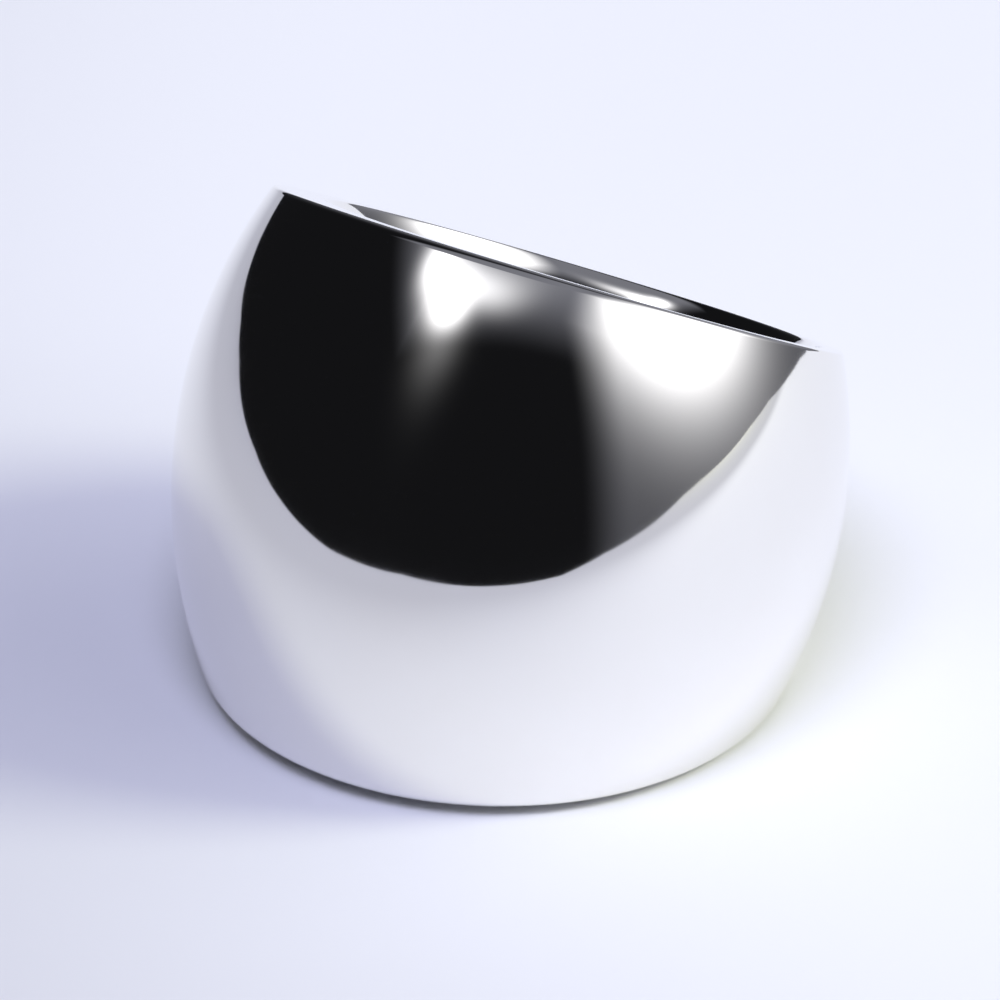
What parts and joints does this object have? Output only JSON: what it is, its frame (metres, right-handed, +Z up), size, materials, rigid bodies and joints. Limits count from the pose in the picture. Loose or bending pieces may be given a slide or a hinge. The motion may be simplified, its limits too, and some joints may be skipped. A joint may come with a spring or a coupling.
{
  "type": "dome ring",
  "caption": "Finger ring cast in one piece: a wide, thick dome at the front that tapers to a narrow, thin back, with flat sides and a plain round finger hole.",
  "frame": {"origin": "where the axis of the finger hole meets the flat side that the ring lies on", "axes": "+Z up out of the surface that the ring lies on, -Y towards the front of the dome, +X to the right seen from the front; the finger hole's axis leans 15.75 degrees from +Z towards +Y"},
  "size_m": [0.0242, 0.0248, 0.0198],
  "materials": {
    "polished_silver": "cast sterling silver, polished to a mirror"
  },
  "bodies": {
    "root": {"dome_band": "polished_silver"}
  },
  "joints": []
}
